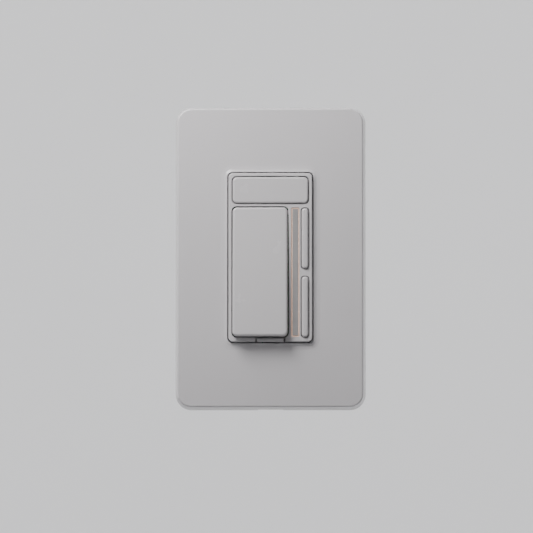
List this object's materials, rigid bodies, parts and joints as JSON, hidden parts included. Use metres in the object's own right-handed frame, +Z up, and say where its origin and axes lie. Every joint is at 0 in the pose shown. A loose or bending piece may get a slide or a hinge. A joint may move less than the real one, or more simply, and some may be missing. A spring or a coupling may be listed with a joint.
{
  "type": "wall dimmer switch",
  "caption": "One-gang wall dimmer with a decorator front: sloped on/off paddle, top button, light bar, raise and lower keys, pull-out air-gap switch and clip-on cover.",
  "frame": {"origin": "middle of the yoke, in the plane of the wall, halfway between the two box screws", "axes": "+Z up as it hangs on the wall, +X to the right seen from the room, +Y into the wall"},
  "size_m": [0.0746, 0.0434, 0.119],
  "materials": {
    "cover_plastic": "satin moulded polycarbonate, pale warm grey",
    "front_plastic": "satin moulded polycarbonate, pale warm grey",
    "adapter_plastic": "matte moulded ABS",
    "clear_guide": "clear acrylic that glows faint peach at its edges",
    "grey_diffuser": "grey translucent acrylic",
    "lamp_body": "white lamp package",
    "yoke_metal": "stamped, clear-coated aluminium",
    "zinc_steel": "zinc-plated steel",
    "plate_screw_steel": "steel painted to match the cover",
    "spring_steel": "drawn spring wire",
    "ground_green": "green-dyed zinc plating",
    "terminal_brass": "bright stamped brass",
    "contact_copper": "copper alloy with silver buttons",
    "fibre": "vulcanised fibre",
    "black_housing": "black moulded thermoset",
    "circuit_board": "green solder mask on glass-epoxy",
    "insulating_film": "amber polyester film",
    "black_component": "black epoxy moulding",
    "switch_black": "black switch body",
    "plunger_plastic": "natural acetal",
    "shield_can": "tinned steel can",
    "pin_gold": "gold-flashed pins in black plastic",
    "ferrite_core": "powdered-iron ring, yellow coating",
    "enamelled_wire": "enamelled copper wire",
    "film_capacitor": "yellow film-capacitor box",
    "capacitor_sleeve": "dark blue sleeve",
    "fuse_body": "brown fuse cap",
    "surge_blue": "blue-coated oxide disc",
    "transformer": "taped winding and dark core",
    "silicone_pad": "grey silicone pad"
  },
  "bodies": {
    "base": {"wall_plate": "cover_plastic", "front_frame": "front_plastic", "adapter_plate": "adapter_plastic", "light_guide": "clear_guide", "light_diffuser": "grey_diffuser", "status_leds": "lamp_body", "yoke": "yoke_metal", "box_screws": "zinc_steel", "adapter_screws": "plate_screw_steel", "housing_screws": "zinc_steel", "transistor_screws": "zinc_steel", "terminal_screws": "terminal_brass", "terminal_plates": "terminal_brass", "terminal_clamps": "zinc_steel", "ground_screw": "ground_green", "screw_retainers": "fibre", "housing": "black_housing", "paddle_spring": "spring_steel", "insulator_sheet": "insulating_film", "keypad_board": "circuit_board", "power_board": "circuit_board", "switch_bodies": "switch_black", "radio_module": "shield_can", "board_pins": "pin_gold", "pin_socket": "black_component", "fixed_contacts": "contact_copper", "choke_core": "ferrite_core", "choke_winding": "enamelled_wire", "film_capacitor": "film_capacitor", "bulk_capacitor": "capacitor_sleeve", "fuse": "fuse_body", "surge_absorber": "surge_blue", "supply_transformer": "transformer", "thermal_pads": "silicone_pad", "power_transistors": "black_component"},
    "paddle": {"paddle": "front_plastic"},
    "paddle_plunger": {"paddle_plunger": "plunger_plastic"},
    "scene_button": {"scene_button": "front_plastic", "scene_plunger": "plunger_plastic"},
    "raise_key": {"raise_key": "front_plastic", "raise_plunger": "plunger_plastic"},
    "lower_key": {"lower_key": "front_plastic", "lower_plunger": "plunger_plastic"},
    "air_gap_tab": {"air_gap_tab": "front_plastic", "bridge_contact": "contact_copper", "contact_spring": "spring_steel"}
  },
  "joints": [
    {"name": "paddle_press", "type": "hinge", "parent": "base", "child": "paddle", "pos_m": [0, -0.0057, 0.0178], "axis": [1, 0, 0], "range_deg": [0, 1.5], "stiffness_Nm_per_rad": 1, "springref_deg": -2.86, "deforming": ["paddle_spring"]},
    {"name": "paddle_plunger", "type": "slide", "parent": "base", "child": "paddle_plunger", "axis": [0, 1, 0], "range_m": [0, 0.0006]},
    {"name": "scene_button", "type": "slide", "parent": "base", "child": "scene_button", "axis": [0, 1, 0], "range_m": [0, 0.0005], "stiffness_N_per_m": 1200, "springref_m": -0.0006},
    {"name": "raise_key", "type": "slide", "parent": "base", "child": "raise_key", "axis": [0, 1, 0], "range_m": [0, 0.0005], "stiffness_N_per_m": 1200, "springref_m": -0.0006},
    {"name": "lower_key", "type": "slide", "parent": "base", "child": "lower_key", "axis": [0, 1, 0], "range_m": [0, 0.0005], "stiffness_N_per_m": 1200, "springref_m": -0.0006},
    {"name": "air_gap_pull", "type": "slide", "parent": "base", "child": "air_gap_tab", "axis": [0, -1, 0], "range_m": [0, 0.0035]}
  ],
  "couplings": [
    {"joint": "paddle_plunger", "follows": "paddle_press", "m_per_rad": 0.02}
  ]
}
